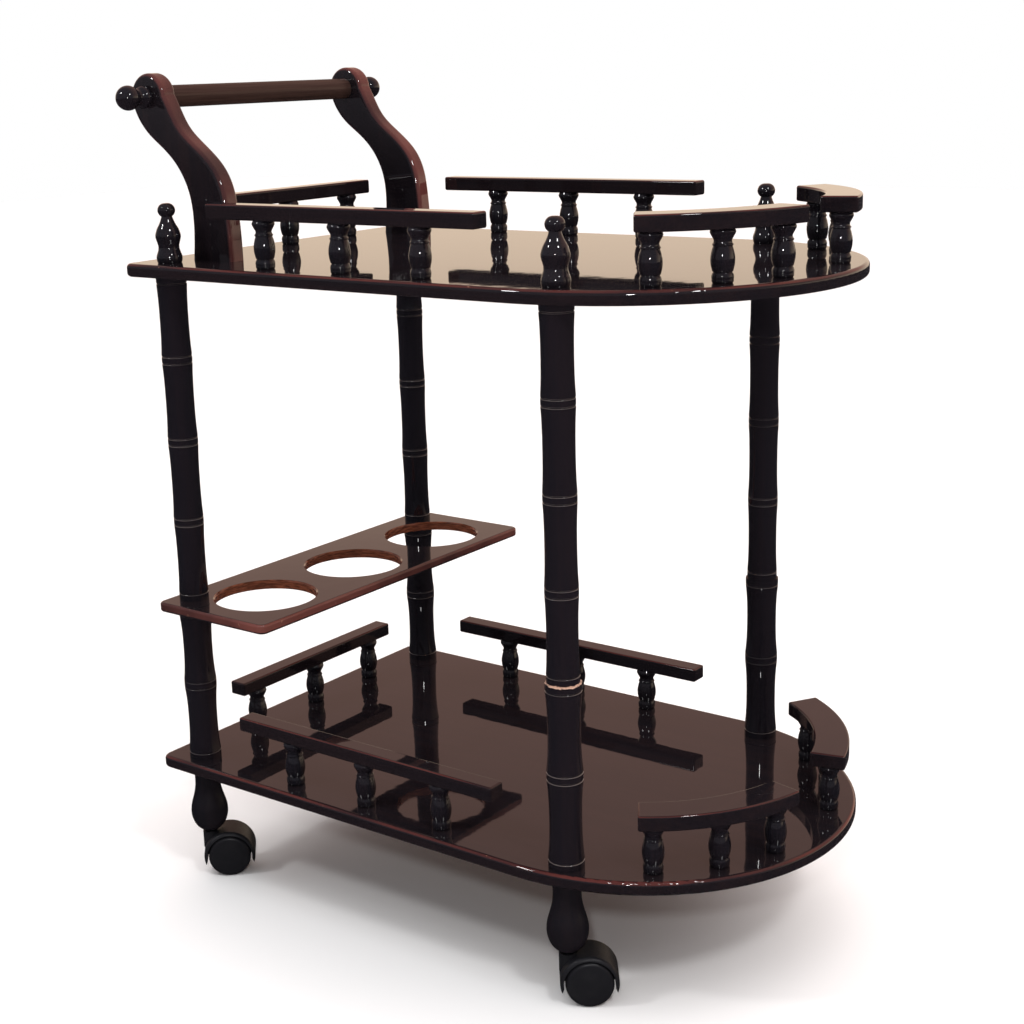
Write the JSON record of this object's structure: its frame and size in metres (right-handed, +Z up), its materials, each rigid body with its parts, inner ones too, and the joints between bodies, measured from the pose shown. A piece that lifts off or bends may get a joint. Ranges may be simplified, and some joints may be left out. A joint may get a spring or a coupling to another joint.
{
  "type": "bar cart on wheels",
  "caption": "Lacquered wooden bar cart with a round front end, bamboo-turned posts, spindle galleries, a bottle rack, a raised push handle and swivel casters.",
  "frame": {"origin": "on the floor under the middle of the whole cart's box", "axes": "+X along the cart from the push handle to the round front end, +Y across the cart, +Z up"},
  "size_m": [0.7011, 0.429, 0.8335],
  "materials": {
    "shelf_lacquer": "high-gloss dark cherry lacquer on a board with a fine straight grain",
    "rack_lacquer": "high-gloss dark cherry lacquer",
    "rail_lacquer": "high-gloss dark cherry lacquer, redder on the eased edges",
    "turned_lacquer": "high-gloss near-black cherry lacquer on turned wood",
    "handle_lacquer": "satin dark cherry lacquer with straight grain",
    "caster_nylon": "moulded black nylon, fine satin texture",
    "wheel_nylon": "moulded black nylon, satin, scuffed on the tread",
    "black_steel": "steel with a thin black finish",
    "zinc_steel": "zinc-plated steel"
  },
  "bodies": {
    "frame": {"top_shelf": "shelf_lacquer", "lower_shelf": "shelf_lacquer", "bottle_rack": "rack_lacquer", "post_upper_near_back": "turned_lacquer", "post_lower_near_back": "turned_lacquer", "finial_near_back": "turned_lacquer", "foot_near_back": "turned_lacquer", "post_upper_near_front": "turned_lacquer", "post_lower_near_front": "turned_lacquer", "finial_near_front": "turned_lacquer", "foot_near_front": "turned_lacquer", "post_upper_far_back": "turned_lacquer", "post_lower_far_back": "turned_lacquer", "finial_far_back": "turned_lacquer", "foot_far_back": "turned_lacquer", "post_upper_far_front": "turned_lacquer", "post_lower_far_front": "turned_lacquer", "finial_far_front": "turned_lacquer", "foot_far_front": "turned_lacquer", "top_spindles": "turned_lacquer", "top_rail_near": "rail_lacquer", "top_rail_far": "rail_lacquer", "top_rail_end": "rail_lacquer", "top_rail_near_curved": "rail_lacquer", "top_rail_far_curved": "rail_lacquer", "lower_spindles": "turned_lacquer", "lower_rail_near": "rail_lacquer", "lower_rail_far": "rail_lacquer", "lower_rail_end": "rail_lacquer", "lower_rail_near_curved": "rail_lacquer", "lower_rail_far_curved": "rail_lacquer", "handle_bracket_near": "rail_lacquer", "handle_bracket_far": "rail_lacquer", "handle_bar": "handle_lacquer", "handle_knob_near": "turned_lacquer", "handle_knob_far": "turned_lacquer", "caster_sockets": "black_steel", "post_studs": "zinc_steel", "bracket_screws": "zinc_steel"},
    "swivel_near_back": {"caster_hood_near_back": "caster_nylon", "caster_stem_near_back": "black_steel", "caster_axle_near_back": "zinc_steel"},
    "wheel_near_back_left": {"caster_wheel_near_back_left": "wheel_nylon"},
    "wheel_near_back_right": {"caster_wheel_near_back_right": "wheel_nylon"},
    "swivel_near_front": {"caster_hood_near_front": "caster_nylon", "caster_stem_near_front": "black_steel", "caster_axle_near_front": "zinc_steel"},
    "wheel_near_front_left": {"caster_wheel_near_front_left": "wheel_nylon"},
    "wheel_near_front_right": {"caster_wheel_near_front_right": "wheel_nylon"},
    "swivel_far_back": {"caster_hood_far_back": "caster_nylon", "caster_stem_far_back": "black_steel", "caster_axle_far_back": "zinc_steel"},
    "wheel_far_back_left": {"caster_wheel_far_back_left": "wheel_nylon"},
    "wheel_far_back_right": {"caster_wheel_far_back_right": "wheel_nylon"},
    "swivel_far_front": {"caster_hood_far_front": "caster_nylon", "caster_stem_far_front": "black_steel", "caster_axle_far_front": "zinc_steel"},
    "wheel_far_front_left": {"caster_wheel_far_front_left": "wheel_nylon"},
    "wheel_far_front_right": {"caster_wheel_far_front_right": "wheel_nylon"}
  },
  "joints": [
    {"name": "swivel_near_back", "type": "hinge", "parent": "frame", "child": "swivel_near_back", "pos_m": [-0.2825, -0.1835, 0.0486], "axis": [0, 0, 1], "continuous": true},
    {"name": "spin_near_back_left", "type": "hinge", "parent": "swivel_near_back", "child": "wheel_near_back_left", "pos_m": [-0.26875, -0.17068, 0.0223], "axis": [-0.682, 0.7314, 0], "continuous": true},
    {"name": "spin_near_back_right", "type": "hinge", "parent": "swivel_near_back", "child": "wheel_near_back_right", "pos_m": [-0.26875, -0.17068, 0.0223], "axis": [-0.682, 0.7314, 0], "continuous": true},
    {"name": "swivel_near_front", "type": "hinge", "parent": "frame", "child": "swivel_near_front", "pos_m": [0.1775, -0.1835, 0.0486], "axis": [0, 0, 1], "continuous": true},
    {"name": "spin_near_front_left", "type": "hinge", "parent": "swivel_near_front", "child": "wheel_near_front_left", "pos_m": [0.19271, -0.17245, 0.0223], "axis": [-0.5878, 0.809, 0], "continuous": true},
    {"name": "spin_near_front_right", "type": "hinge", "parent": "swivel_near_front", "child": "wheel_near_front_right", "pos_m": [0.19271, -0.17245, 0.0223], "axis": [-0.5878, 0.809, 0], "continuous": true},
    {"name": "swivel_far_back", "type": "hinge", "parent": "frame", "child": "swivel_far_back", "pos_m": [-0.2825, 0.1835, 0.0486], "axis": [0, 0, 1], "continuous": true},
    {"name": "spin_far_back_left", "type": "hinge", "parent": "swivel_far_back", "child": "wheel_far_back_left", "pos_m": [-0.26875, 0.17068, 0.0223], "axis": [0.682, 0.7314, 0], "continuous": true},
    {"name": "spin_far_back_right", "type": "hinge", "parent": "swivel_far_back", "child": "wheel_far_back_right", "pos_m": [-0.26875, 0.17068, 0.0223], "axis": [0.682, 0.7314, 0], "continuous": true},
    {"name": "swivel_far_front", "type": "hinge", "parent": "frame", "child": "swivel_far_front", "pos_m": [0.1775, 0.1835, 0.0486], "axis": [0, 0, 1], "continuous": true},
    {"name": "spin_far_front_left", "type": "hinge", "parent": "swivel_far_front", "child": "wheel_far_front_left", "pos_m": [0.19271, 0.17245, 0.0223], "axis": [0.5878, 0.809, 0], "continuous": true},
    {"name": "spin_far_front_right", "type": "hinge", "parent": "swivel_far_front", "child": "wheel_far_front_right", "pos_m": [0.19271, 0.17245, 0.0223], "axis": [0.5878, 0.809, 0], "continuous": true}
  ]
}
